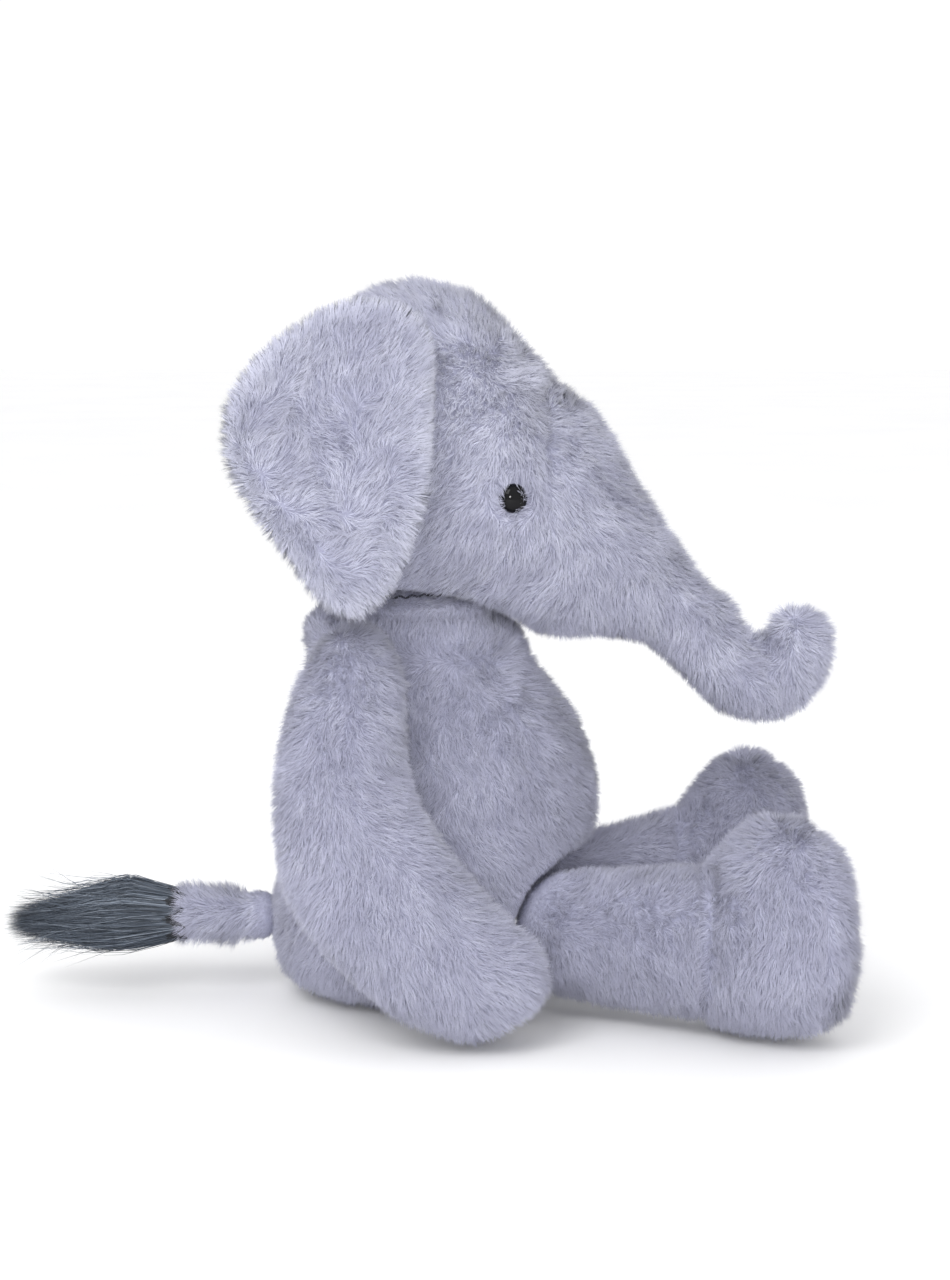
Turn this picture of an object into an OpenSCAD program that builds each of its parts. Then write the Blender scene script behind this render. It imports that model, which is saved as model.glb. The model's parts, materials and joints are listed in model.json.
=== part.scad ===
// Stuffed elephant, sitting, facing +X. Millimetres, +Z up, symmetric about Y = 0.
// The origin is on the resting surface, under the middle of the whole toy.
// Every limb is a loft through hand-placed stations, sewn from panels over a filling.

/* [Plush] */
// Thickness of the panels, pile included
wall = 4.5; // [3:0.5:5]
// Gap kept between parts that turn against each other
gap = 0.8; // [0.5:0.1:1.5]

/* [Neck] */
// Radius of the rounded neck seat that the head turns on
neck_r = 60; // [56:1:62]
// Height of the centre of that seat
neck_z = 116; // [112:1:118]

/* [Ears] */
// How far the ear stands away from the head, in degrees
ear_flare = 16; // [12:1:30]
// Thickness of the ear at its middle
ear_t = 11; // [8:1:13]
// How deep the ear is cupped
ear_cup = 7; // [0:1:10]

/* [Eyes] */
// Diameter of the safety eye
eye_d = 12; // [9:0.5:14]
// How far the dome stands out of the pile
eye_h = 5; // [3:0.5:6]
// Diameter of the eye's shank
shank_d = 4; // [3:0.5:5]
// Diameter of the locking washer
washer_d = 13; // [10:1:15]

/* [Limbs] */
// Radius of the rounded leg root at the hip seam
hip_r = 28.5; // [26:0.5:29]
// Radius of the rounded end of the trunk tip at its bend
bend_r = 19; // [17:0.5:20]

/* [Hidden] */

plush = "#b9bace";
tuft_grey = "#4c5663";
wadding = "#f2f0ea";
pouch = "#d8d2c0";
bead = "#0a0a0c";
washer_white = "#e8e8e4";
thread = "#6f7080";

// The stations' own zero is this far behind the middle of the toy's whole length
middle_shift = 6.5;
// Joint centres: neck, trunk bend, right hip and right shoulder, as [x, y, z]
neck = [-13, 0, neck_z];
bend = [105, 0, 155];
hip = [58, -36, 34];
shoulder = [-33, -56, 150];
// Radius of the hollow under the belly that the leg roots turn in
hip_pocket_r = hip_r + 2 * gap;
// Radius of the hollow in the head that sits over the neck
head_seat_r = neck_r + 3 * gap;
// Direction from the trunk's bend back towards the head
up_the_trunk = unit([-0.65, 0, 0.76]);
// Half-width that a rounded end closes down to
tip = 0.04;
// How much of the seat is cut away to leave it flat
seat_cut = 1;

// Stations: [ax, az, bx, bz, y, w]. The a point and the b point are opposite edges of the cross-section
// in the side view, y is the section's middle and w its half-width across.

torso_shape = [
    [6, -1, -48, -1, 0, 26],
    [28, 3, -64, 6, 0, 41],
    [54, 18, -72, 18, 0, 53],
    [63, 43, -72, 43, 0, 59],
    [66, 70, -67, 70, 0, 58],
    [66, 95, -61, 95, 0, 54],
    [58, 118, -58, 118, 0, 49],
    [42, 140, -57, 141, 0, 44],
    [29, 157, -55, 157, 0, 40]
];
head_back_shape = [
    [-58, 246, -62, 200, 0, 27],
    [-42, 287, -52, 174, 0, 45],
    [-17, 300, -30, 163, 0, 52]
];
head_front_shape = [
    [-17, 300, -30, 163, 0, 52],
    [8, 297, -4, 159, 0, 53],
    [32, 277, 22, 160, 0, 50],
    [48, 257, 44, 154.5, 0, 44]
];
trunk_shape = [
    [48, 257, 44, 154.5, 0, 44],
    [62, 249, 54, 152.5, 0, 39],
    [74.5, 229, 66, 150, 0, 33],
    [89.5, 205, 78, 148.5, 0, 26.5],
    [106, 181, 84, 147.5, 0, 21.5],
    [111, 175, 87, 144, 0, 20.5]
];
trunk_tip_shape = [
    [117, 170, 93, 139, 0, 18.5],
    [124, 161, 100, 131, 0, 18.5],
    [129, 154, 113, 119.5, 0, 18],
    [131, 151, 131, 113.5, 0, 18],
    [131.5, 151, 150, 117.5, 0, 17.5],
    [132, 153, 163, 137, 0, 16.5],
    [137, 161, 163, 150, 0, 13.5]
];
arm_shape = [
    [-21, 160, -47, 158, -56, 12],
    [-14, 148, -55, 146, -60, 17],
    [-12, 128, -62, 126, -68, 21],
    [-9, 103, -66, 98, -75, 22],
    [4, 79, -63, 65, -79, 22],
    [22, 58, -48, 41, -81, 22],
    [36, 45, -31, 22, -82, 21],
    [43, 36, -14, 11, -82, 20],
    [44, 27, 4, 4.5, -82, 16]
];
leg_shape = [
    [58, 62.5, 58, 5.5, -36, 25],
    [80, 65, 80, 4, -45, 26],
    [103, 68.5, 101, 3, -56, 28]
];
foot_shape = [
    [103, 68.5, 101, 3, -56, 28],
    [110, 77, 108, 0.8, -60, 31],
    [120, 89, 119, 0, -64, 33.5],
    [134, 94, 134, 0, -69, 35],
    [149, 89, 149, 2, -73, 34]
];
sole_shape = [
    [149, 89, 149, 2, -73, 34],
    [158, 79, 158, 9, -74, 28.5]
];
tail_shape = [
    [-87, 46, -87, 20, 0, 12.5],
    [-100, 46.5, -100, 20.5, 0, 12.5],
    [-112, 46, -112, 21, 0, 12]
];
tuft_shape = [
    [-112, 45, -112, 21, 0, 11],
    [-128, 49, -128, 18, 0, 15],
    [-145, 47, -145, 19, 0, 13.5],
    [-162, 41, -162, 25, 0, 8.5],
    [-173, 36, -173, 29, 0, 3.5]
];

// Ear outline in the ear's own plane: [distance behind the hinge, height], going round from the top
ear_outline = [
    [10, 116], [-2, 108], [-5.5, 97], [-6, 80], [-6, 60], [-4, 38], [2, 14], [11, -1],
    [22, -6], [34, 2], [49, 19], [65, 36], [75, 53], [74, 70], [65, 88], [50, 103], [30, 115]
];
// The hinge line of the right ear: a point on it, and its direction
ear_hinge = [-9, -59.5, 242];
ear_up = unit([0.09, 0.2, 1]);
// Height of that hinge point in the ear outline's own measure
ear_hinge_v = 70;

// Lofts: [stations, steps along them, sides round the section, height of the cap at the start, height of
// the cap at the end, rings in a cap, what the loft keeps clear of]. A cap of undef is an open end, and a
// cap of 0 a flat one.
torso = [torso_shape, 14, 24, 0, 11, 3, "torso"];
head_back = [head_back_shape, 3, 24, 7, undef, 3, "head"];
head_front = [head_front_shape, 5, 24, undef, undef, 0, "head"];
trunk = [trunk_shape, 5, 24, undef, 0, 3, "trunk"];
trunk_tip = [trunk_tip_shape, 10, 16, bend_r - 1, 9, 3, ""];
arm = [arm_shape, 12, 16, 6, 8, 3, ""];
leg = [leg_shape, 3, 16, hip_r, undef, 4, "foot"];
foot = [foot_shape, 6, 16, undef, undef, 0, "foot"];
sole = [sole_shape, 2, 16, undef, 6, 3, "foot"];
tail = [tail_shape, 3, 12, 12.5, undef, 3, ""];
tuft = [tuft_shape, 7, 14, undef, 4, 2, ""];

// Place of the eye in the side view, its turn towards the front, and the distance from the middle plane
// to the flat back of the dome
eye_at = [31, 211];
eye_turn = 12;
eye_y = 46.8;
eye_slack = 0.4;
shank_l = 14;
washer_t = 1.5;
washer_back = 8;
washer_pocket = [16, 30];

function unit(v) = v / norm(v);
function clamp(v, low, high) = max(low, min(high, v));

// Catmull-Rom spline through a list of points, at u from 0 to len - 1
function curve_at(list, u) =
    let (
        last = len(list) - 1,
        i = min(floor(u), last - 1),
        t = u - i,
        p = [for (k = [-1:2]) list[clamp(i + k, 0, last)]]
    )
    0.5 * (2 * p[1] + (p[2] - p[0]) * t + (2 * p[0] - 5 * p[1] + 4 * p[2] - p[3]) * t * t
        + (3 * p[1] - p[0] - 3 * p[2] + p[3]) * t * t * t);

// Same spline round a closed outline, at u from 0 to len
function loop_at(list, u) =
    let (
        n = len(list),
        i = floor(u),
        t = u - i,
        p = [for (k = [-1:2]) list[(i + k + n) % n]]
    )
    0.5 * (2 * p[1] + (p[2] - p[0]) * t + (2 * p[0] - 5 * p[1] + 4 * p[2] - p[3]) * t * t
        + (3 * p[1] - p[0] - 3 * p[2] + p[3]) * t * t * t);

// A ring is [centre, half vector in the side view, half-width], made from a station and shrunk by inset
function ring_of(s, inset) =
    let (
        half = [s[0] - s[2], 0, s[1] - s[3]] / 2,
        long = norm(half)
    )
    [
        [(s[0] + s[2]) / 2, s[4], (s[1] + s[3]) / 2],
        half * max(tip, long - inset) / long,
        max(tip, s[5] - inset)
    ];

// Direction along the spine at a station: side = 1 points on along the stations, -1 back
function spine_dir(list, u, side) =
    let (
        here = curve_at(list, u),
        half = [here[0] - here[2], here[1] - here[3]],
        across = unit([half[1], 0, -half[0]]),
        step = 0.2,
        ahead = curve_at(list, clamp(u + step, 0, len(list) - 1)),
        behind = curve_at(list, clamp(u - step, 0, len(list) - 1)),
        along = [ahead[0] + ahead[2] - behind[0] - behind[2], 0, ahead[1] + ahead[3] - behind[1] - behind[3]]
    )
    (along * across < 0 ? -1 : 1) * side * across;

// Rings that close an end: a rounded cap of height h on ring r, in direction dir
function cap_rings(r, dir, h, count) =
    [for (k = [1:count])
        let (a = 90 * k / count, f = max(tip, cos(a)))
        [r[0] + dir * h * sin(a), r[1] * f, max(tip, r[2] * f)]];

function reversed(list) = [for (i = [len(list) - 1:-1:0]) list[i]];

// All the rings of a loft, shrunk by inset
function loft_rings(loft, inset) =
    let (
        list = loft[0],
        steps = loft[1],
        h0 = loft[3],
        h1 = loft[4],
        caps = loft[5],
        last = len(list) - 1,
        body = [for (i = [0:steps]) ring_of(curve_at(list, last * i / steps), inset)],
        start = is_undef(h0) ? []
            : reversed(cap_rings(body[0], spine_dir(list, 0, -1), max(0, h0 - inset), caps)),
        end = is_undef(h1) ? [] : cap_rings(body[steps], spine_dir(list, last, 1), max(0, h1 - inset), caps)
    )
    concat(start, body, end);

function ring_point(r, a) = r[0] + r[1] * cos(a) + [0, r[2] * sin(a), 0];

// Keeping shapes clear of the joints: each of these moves a point only if it is in the way
function out_of_ball(p, centre, r, dir) =
    let (
        q = p - centre,
        along = q * dir,
        across = norm(q - along * dir)
    )
    across >= r ? p : p + dir * max(0, sqrt(r * r - across * across) - along);
function out_of_pocket(p, extra) =
    let (
        r = hip_pocket_r + extra,
        rise = p[2] - hip[2]
    )
    abs(rise) >= r ? p : [min(p[0], hip[0] - sqrt(r * r - rise * rise)), p[1], p[2]];
function above(p, height) = [p[0], p[1], max(p[2], height)];

// kind says what the point keeps clear of, extra is how much deeper an inner surface lies
function fit(p, kind, extra) =
    kind == "torso" ? above(out_of_pocket(p, extra), extra > 0 ? extra : -seat_cut)
    : kind == "head" ? out_of_ball(p, neck, head_seat_r + extra, [0, 0, 1])
    : kind == "trunk" ? out_of_ball(p, bend, bend_r + 2 * gap + extra, up_the_trunk)
    : kind == "foot" ? above(p, extra)
    : p;

// Triangles over a grid of rows x columns, and round to the first column when wrapped
function grid_faces(rows, cols, wrapped, base, flip) =
    [for (i = [0:rows - 2], j = [0:wrapped ? cols - 1 : cols - 2], half = [0, 1])
        let (
            j2 = (j + 1) % cols,
            a = base + i * cols + j,
            b = base + i * cols + j2,
            c = base + (i + 1) * cols + j2,
            d = base + (i + 1) * cols + j,
            f = half == 0 ? [a, b, c] : [a, c, d]
        )
        flip ? reversed(f) : f];

// A strip of triangles between two equally long lists of point numbers
function strip_faces(p, q, wrapped) =
    [for (k = [0:wrapped ? len(p) - 1 : len(p) - 2], half = [0, 1])
        let (k2 = (k + 1) % len(p))
        half == 0 ? [p[k], p[k2], q[k2]] : [p[k], q[k2], q[k]]];

// Whether the rings' own right-hand turn points along the loft; if not, every face is turned over
function follows(rings) =
    let (
        first = rings[0],
        along = rings[len(rings) - 1][0] - first[0],
        mid = rings[floor(len(rings) / 2)]
    )
    cross(mid[1], [0, 1, 0]) * along > 0;
function facing_out(faces, rings) = follows(rings) ? faces : [for (f = faces) reversed(f)];

// A solid through rings
module solid_rings(rings, sides, inset, kind) {
    rows = len(rings);
    points = [for (r = rings, j = [0:sides - 1]) fit(ring_point(r, 360 * j / sides), kind, inset)];
    first = [for (j = [0:sides - 1]) j];
    last = [for (j = [sides - 1:-1:0]) (rows - 1) * sides + j];
    faces = concat(grid_faces(rows, sides, true, 0, true), [first], [last]);
    polyhedron(points, facing_out(faces, rings));
}

// The filling inside a loft, or the whole loft when inset is 0
module solid_loft(loft, inset) {
    solid_rings(loft_rings(loft, inset), loft[2], inset, loft[6]);
}

// A panel on the right (negative Y) or the left of the middle
module half_panel(loft, left) {
    panel(loft, left ? 0 : 180, left ? 180 : 360);
}

// A sewn panel: the wall between a loft's surface and the same loft shrunk by the wall thickness,
// from angle a0 to a1 round the section. A span of 360 is a whole sleeve.
module panel(loft, a0, a1) {
    sides = loft[2];
    kind = loft[6];
    whole = a1 - a0 == 360;
    cols = whole ? sides : round(sides * (a1 - a0) / 360) + 1;
    outer = loft_rings(loft, 0);
    inner = loft_rings(loft, wall);
    rows = len(outer);
    angle = [for (j = [0:cols - 1]) a0 + 360 * j / sides];
    count = rows * cols;
    points = concat(
        [for (r = outer, a = angle) fit(ring_point(r, a), kind, 0)],
        [for (r = inner, a = angle) fit(ring_point(r, a), kind, wall)]
    );
    start_out = [for (j = [0:cols - 1]) j];
    end_out = [for (j = [0:cols - 1]) (rows - 1) * cols + j];
    side0_out = [for (i = [0:rows - 1]) i * cols];
    side1_out = [for (i = [0:rows - 1]) i * cols + cols - 1];
    inner_of = function(p) [for (k = p) k + count];
    sides_closed = whole ? [] : concat(
        strip_faces(inner_of(side0_out), side0_out, false),
        strip_faces(side1_out, inner_of(side1_out), false)
    );
    faces = concat(
        grid_faces(rows, cols, whole, 0, true),
        grid_faces(rows, cols, whole, count, false),
        strip_faces(start_out, inner_of(start_out), whole),
        strip_faces(inner_of(end_out), end_out, whole),
        sides_closed
    );
    polyhedron(points, facing_out(faces, outer));
}

module mirrored(left) {
    if (left) mirror([0, 1, 0]) children();
    else children();
}

// Half of the torso's cover, cut flat where it sits
module torso_panel(left) {
    below = 400;
    color(plush) difference() {
        half_panel(torso, left);
        translate([-below / 2, -below / 2, -below]) cube(below);
    }
}

module torso_filling() {
    color(wadding) difference() {
        solid_loft(torso, wall);
        seat_pouch(gap);
    }
}

// The bag of pellets in the seat: its middle, radius, and height over its radius
pouch_at = [-24, 0, 24];
pouch_r = 28;
pouch_squash = 0.5;

module seat_pouch(extra) {
    translate(pouch_at) rotate_extrude($fn = 32)
        intersection() {
            scale([1, pouch_squash]) circle(pouch_r + extra, $fn = 32);
            translate([0, -pouch_r]) square(2 * pouch_r);
        }
}

module seat_bean_bag() {
    color(pouch) seat_pouch(0);
}

// Short threads across the back seam, a little clear of the pile
module closing_stitches() {
    count = 7;
    first = 3.2;
    pitch = 0.32;
    length = 6;
    stitch_r = 0.5;
    lift = 0.3;
    color(thread) for (k = [0:count - 1]) {
        s = curve_at(torso_shape, first + k * pitch);
        translate([s[2] - stitch_r - lift, length / 2, s[3]]) rotate([90, 0, 0])
            cylinder(r = stitch_r, h = length, $fn = 16);
    }
}

// Threads between the torso and the arms
module shoulder_threads() {
    reach = 2.5;
    inner_y = 37.5;
    thread_r = 1.5;
    color(thread) for (left = [false, true]) mirrored(left)
        translate([shoulder[0], -inner_y, shoulder[2]]) rotate([90, 0, 0])
            cylinder(r = thread_r, h = reach, $fn = 24);
}

// The rounded top of the body's filling, which the head's hollow sits over
module neck_filling() {
    low_z = 168.8;
    edge_r = 30;
    color(wadding) translate([neck[0], 0, 0]) rotate_extrude($fn = 48)
        intersection() {
            translate([0, neck_z]) circle(neck_r, $fn = 96);
            translate([0, low_z]) square([edge_r, neck_r]);
        }
}

// The ring of stitches round that seat
module neck_stitching() {
    ring_r = 41.5;
    neck_thread_r = 0.35;
    ring_z = neck_z + sqrt(pow(neck_r + gap, 2) - ring_r * ring_r);
    color(thread) translate([neck[0], 0, ring_z]) rotate_extrude($fn = 96)
        translate([ring_r, 0]) circle(neck_thread_r, $fn = 16);
}

module head_back_panel(left) {
    color(plush) half_panel(head_back, left);
}

// A panel of the front of the head, with the hole for the eye's shank
module head_front_panel(left) {
    color(plush) difference() {
        half_panel(head_front, left);
        eye_place(left) {
            translate([0, 0, -shank_l]) cylinder(d = shank_d + eye_slack, h = shank_l + 1, $fn = 32);
            cylinder(d = eye_d + eye_slack, h = eye_h + 1, $fn = 48);
        }
    }
}

// One filling through both pairs of panels, with a pocket at each eye's washer
module head_filling() {
    front_rings = loft_rings(head_front, wall);
    front = [for (i = [1:len(front_rings) - 1]) front_rings[i]];
    color(wadding) difference() {
        solid_rings(concat(loft_rings(head_back, wall), front), head_front[2], wall, head_front[6]);
        for (left = [false, true])
            eye_place(left) translate([0, 0, -washer_pocket[0]])
                cylinder(d = washer_d + 1, h = washer_pocket[1], $fn = 32);
    }
}

module eye_place(left) {
    mirrored(left) translate([eye_at[0], -eye_y, eye_at[1]])
        rotate([0, 0, eye_turn]) rotate([90, 0, 0]) children();
}

// A safety eye: a black dome on a shank
module eye(left) {
    dome_r = (pow(eye_d / 2, 2) + eye_h * eye_h) / (2 * eye_h);
    color(bead) eye_place(left) rotate_extrude($fn = 48) {
        intersection() {
            translate([0, eye_h - dome_r]) circle(dome_r, $fn = 96);
            square([eye_d, eye_h]);
        }
        translate([0, -shank_l]) square([shank_d / 2, shank_l]);
    }
}

// The washer that locks the shank from inside
module eye_washer(left) {
    color(washer_white) eye_place(left) translate([0, 0, -washer_back]) difference() {
        cylinder(d = washer_d, h = washer_t, $fn = 48);
        translate([0, 0, -1]) cylinder(d = shank_d, h = washer_t + 2, $fn = 48);
    }
}

module trunk_panel(left) {
    color(plush) half_panel(trunk, left);
}

module trunk_filling() {
    color(wadding) solid_loft(trunk, wall);
}

module trunk_tip_panel(left) {
    color(plush) half_panel(trunk_tip, left);
}

module trunk_tip_filling() {
    color(wadding) solid_loft(trunk_tip, wall);
}

// Rings of points from the middle of the ear out to its edge, as fractions of the way
ear_rings = [0.12, 0.4, 0.65, 0.85, 0.96, 1];
ear_points = 34;
ear_middle = [34, 66];

// Place of a point of the right ear: u behind the hinge, v up along it, w out of its plane
function ear_place(u, v, w) =
    let (
        back = unit(cross(cross(ear_up, [-1, 0, 0]), ear_up)),
        out = unit(cross(back, ear_up)),
        side = out[1] > 0 ? -out : out,
        u_dir = back * cos(ear_flare) + side * sin(ear_flare),
        w_dir = side * cos(ear_flare) - back * sin(ear_flare)
    )
    ear_hinge + u * u_dir + (v - ear_hinge_v) * ear_up + w * w_dir;

// Half of the ear's thickness at fraction s of the way from its middle to its edge
ear_edge = 0.4;
function ear_half(s) = ear_edge + (ear_t / 2 - ear_edge) * sqrt(max(0, 1 - pow(s, 3)));

// The middle surface is cupped: its back and lower edges stand out from its middle
ear_reach = [42, 66];
ear_low_cup = 0.6;
ear_flat_root = 20;
function ear_mid(u, v) =
    let (
        back = max(0, u - ear_middle[0]) / ear_reach[0],
        low = min(0, v - ear_middle[1]) / ear_reach[1]
    )
    ear_cup * (back * back + ear_low_cup * low * low) * clamp(u / ear_flat_root, 0, 1);

module ear_panel(left, outer) {
    rows = len(ear_rings);
    n = len(ear_outline);
    rim = [for (k = [0:ear_points - 1]) loop_at(ear_outline, n * k / ear_points)];
    flat = [for (s = ear_rings, p = rim) concat(ear_middle + (p - ear_middle) * s, [s])];
    face = outer ? 1 : -1;
    count = rows * ear_points;
    points = concat(
        [for (f = flat) ear_place(f[0], f[1], ear_mid(f[0], f[1]) + face * ear_half(f[2]))],
        [for (f = flat) ear_place(f[0], f[1], ear_mid(f[0], f[1]))]
    );
    centre = [for (k = [0:ear_points - 1]) k];
    edge = [for (k = [0:ear_points - 1]) (rows - 1) * ear_points + k];
    below = [for (k = edge) k + count];
    faces = concat(
        grid_faces(rows, ear_points, true, 0, outer),
        grid_faces(rows, ear_points, true, count, !outer),
        [outer ? centre : reversed(centre)],
        [outer ? [for (k = reversed(centre)) k + count] : [for (k = centre) k + count]],
        outer ? strip_faces(below, edge, true) : strip_faces(edge, below, true)
    );
    color(plush) mirrored(left) polyhedron(points, faces);
}

module arm_panel(left, outer) {
    color(plush) mirrored(left)
        panel(arm, outer ? 180 : 0, outer ? 360 : 180);
}

module arm_filling(left) {
    color(wadding) mirrored(left) solid_loft(arm, wall);
}

module leg_panel(left, outer) {
    color(plush) mirrored(left)
        panel(leg, outer ? 180 : 0, outer ? 360 : 180);
}

module leg_filling(left) {
    color(wadding) mirrored(left) solid_loft(leg, wall);
}

module foot_cover(left) {
    color(plush) mirrored(left) panel(foot, 0, 360);
}

module foot_sole(left) {
    color(plush) mirrored(left) panel(sole, 0, 360);
}

module foot_bean_bag(left) {
    color(pouch) mirrored(left) solid_loft(foot, wall);
}

module tail_panel(left) {
    color(plush) half_panel(tail, left);
}

module tail_filling() {
    color(wadding) solid_loft(tail, wall);
}

module tail_tuft() {
    color(tuft_grey) solid_loft(tuft, 0);
}

// Moves the toy so that the origin is under its middle
module placed() {
    translate([middle_shift, 0, 0]) children();
}

placed() torso_panel(false);  // torso_panel_right
placed() torso_panel(true);  // torso_panel_left
placed() torso_filling();
placed() seat_bean_bag();
placed() closing_stitches();
placed() shoulder_threads();
placed() neck_filling();
placed() neck_stitching();
placed() head_back_panel(false);  // head_back_panel_right
placed() head_back_panel(true);  // head_back_panel_left
placed() head_front_panel(false);  // head_front_panel_right
placed() head_front_panel(true);  // head_front_panel_left
placed() head_filling();
placed() eye(false);  // eye_right
placed() eye(true);  // eye_left
placed() eye_washer(false);  // eye_washer_right
placed() eye_washer(true);  // eye_washer_left
placed() trunk_panel(false);  // trunk_panel_right
placed() trunk_panel(true);  // trunk_panel_left
placed() trunk_filling();
placed() trunk_tip_panel(false);  // trunk_tip_panel_right
placed() trunk_tip_panel(true);  // trunk_tip_panel_left
placed() trunk_tip_filling();
placed() ear_panel(false, true);  // ear_outer_panel_right
placed() ear_panel(false, false);  // ear_inner_panel_right
placed() ear_panel(true, true);  // ear_outer_panel_left
placed() ear_panel(true, false);  // ear_inner_panel_left
placed() arm_panel(false, true);  // arm_outer_panel_right
placed() arm_panel(false, false);  // arm_inner_panel_right
placed() arm_filling(false);  // arm_filling_right
placed() arm_panel(true, true);  // arm_outer_panel_left
placed() arm_panel(true, false);  // arm_inner_panel_left
placed() arm_filling(true);  // arm_filling_left
placed() leg_panel(false, true);  // leg_outer_panel_right
placed() leg_panel(false, false);  // leg_inner_panel_right
placed() leg_filling(false);  // leg_filling_right
placed() foot_cover(false);  // foot_cover_right
placed() foot_sole(false);  // foot_sole_right
placed() foot_bean_bag(false);  // foot_bean_bag_right
placed() leg_panel(true, true);  // leg_outer_panel_left
placed() leg_panel(true, false);  // leg_inner_panel_left
placed() leg_filling(true);  // leg_filling_left
placed() foot_cover(true);  // foot_cover_left
placed() foot_sole(true);  // foot_sole_left
placed() foot_bean_bag(true);  // foot_bean_bag_left
placed() tail_panel(false);  // tail_panel_right
placed() tail_panel(true);  // tail_panel_left
placed() tail_filling();
placed() tail_tuft();
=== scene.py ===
# A plush elephant: fabric skins made from the CAD solids, covered in real strands of pile.
import json
import math

import bmesh
import bpy
import numpy as np
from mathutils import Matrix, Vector
from mathutils.bvhtree import BVHTree


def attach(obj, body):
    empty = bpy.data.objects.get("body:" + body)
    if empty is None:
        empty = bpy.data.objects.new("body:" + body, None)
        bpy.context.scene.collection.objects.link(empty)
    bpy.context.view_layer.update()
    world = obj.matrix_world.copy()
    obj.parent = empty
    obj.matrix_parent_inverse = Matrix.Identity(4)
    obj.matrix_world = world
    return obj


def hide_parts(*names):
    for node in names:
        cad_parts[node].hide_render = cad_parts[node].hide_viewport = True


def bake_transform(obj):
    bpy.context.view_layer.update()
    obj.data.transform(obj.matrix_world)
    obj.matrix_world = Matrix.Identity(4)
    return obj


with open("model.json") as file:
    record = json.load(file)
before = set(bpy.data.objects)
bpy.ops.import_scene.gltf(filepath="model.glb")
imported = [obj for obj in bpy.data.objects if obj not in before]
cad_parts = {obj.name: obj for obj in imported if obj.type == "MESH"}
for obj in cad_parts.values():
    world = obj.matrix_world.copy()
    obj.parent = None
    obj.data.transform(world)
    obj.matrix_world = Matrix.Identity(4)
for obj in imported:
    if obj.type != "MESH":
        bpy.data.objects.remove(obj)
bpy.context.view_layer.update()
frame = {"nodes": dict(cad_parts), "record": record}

MM = 0.001
JOINTS = {joint["name"]: joint for joint in frame["record"]["behaviour"]["joints"]}
BODIES = frame["record"]["behaviour"]["bodies"]

# skins
PILE = 4.2 * MM            # how far the woven backing lies under the tips of the pile
VOXEL = 2.6 * MM
FINE_VOXEL = 2.0 * MM
SEAM_REACH = 14 * MM       # a seam is felt this far away
GROOVE_DEPTH = 1.1 * MM
GROOVE_WIDTH = 2.6 * MM
BODY_REACH = 20 * MM       # another body is felt this far away
TOUCHING = 3 * MM          # fabric this near another body stays where the CAD has it
CLEARING = 7 * MM          # and this much further away it is drawn in fully
SKIN_FLOOR = 1.2 * MM      # the backing's lowest height over the floor
LUMP_SIZE = 26 * MM
SMALL_LUMP_SIZE = 11 * MM

# pile
MAX_STRANDS = 60000        # the most strands in one piece
FLOOR = 0.3 * MM           # the lowest height of a strand
DENSITY = 3.0 / MM ** 2
STRAND_LENGTH = 6.2 * MM
STRAND_WIDTH = 0.32 * MM
ROOT_DEPTH = 0.4 * MM      # how far roots lie under the backing
LEAN = 42                  # degrees from upright
UNDER_SHARE = 0.3          # share of the strands in the short layer, coloured dark as painted shade among the roots
UNDER_LENGTH = 0.66
BUNCH_SIZE = 6.5 * MM
CLUMP_SIZE = 1.7 * MM
FINE_SIZE = 0.9 * MM
SEEDS = {
    "torso": 101, "head": 102, "ear_right": 103, "ear_left": 104, "arm_right": 105, "arm_left": 106,
    "leg_right": 107, "leg_left": 108, "tail": 109, "tuft": 110, "neck": 120,
}


# ---------------------------------------------------------------- small helpers

def unit(v):
    """Vectors of length 1, one or many."""
    v = np.asarray(v, dtype=float)
    return v / np.maximum(np.linalg.norm(v, axis=-1, keepdims=True), 1e-12)


class Field:
    """Smooth random numbers in space, the same on every run."""

    SIZE = 32

    def __init__(self, seed, parts=3):
        self.table = np.random.default_rng(seed).uniform(-1, 1, (self.SIZE,) * 3 + (parts,))

    def at(self, points, wavelength):
        grid = points / wavelength + 1000.0
        low = np.floor(grid).astype(int)
        t = grid - low
        t = t * t * (3 - 2 * t)
        total = 0.0
        for corner in range(8):
            step = np.array([corner & 1, corner >> 1 & 1, corner >> 2 & 1])
            weight = np.prod(np.where(step, t, 1 - t), axis=1)[:, None]
            cell = (low + step) % self.SIZE
            total = total + weight * self.table[cell[:, 0], cell[:, 1], cell[:, 2]]
        return total


def world_mesh(node):
    """Points and triangles of a CAD node."""
    mesh = frame["nodes"][node].data
    mesh.calc_loop_triangles()
    points = np.empty(len(mesh.vertices) * 3)
    mesh.vertices.foreach_get("co", points)
    triangles = np.empty(len(mesh.loop_triangles) * 3, dtype=int)
    mesh.loop_triangles.foreach_get("vertices", triangles)
    return points.reshape(-1, 3), triangles.reshape(-1, 3)


def tree_of(nodes):
    """One search tree over several CAD nodes."""
    points, triangles, base = [], [], 0
    for node in nodes:
        p, t = world_mesh(node)
        points.extend(map(tuple, p))
        triangles.extend(map(tuple, t + base))
        base += len(p)
    return BVHTree.FromPolygons(points, [list(map(int, t)) for t in triangles])


def new_object(name, mesh):
    piece = bpy.data.objects.new(name, mesh)
    bpy.context.scene.collection.objects.link(piece)
    return piece


def mesh_from(name, points, faces):
    mesh = bpy.data.meshes.new(name)
    mesh.from_pydata([tuple(p) for p in points], [], [list(map(int, f)) for f in faces])
    mesh.update()
    return mesh


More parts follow.
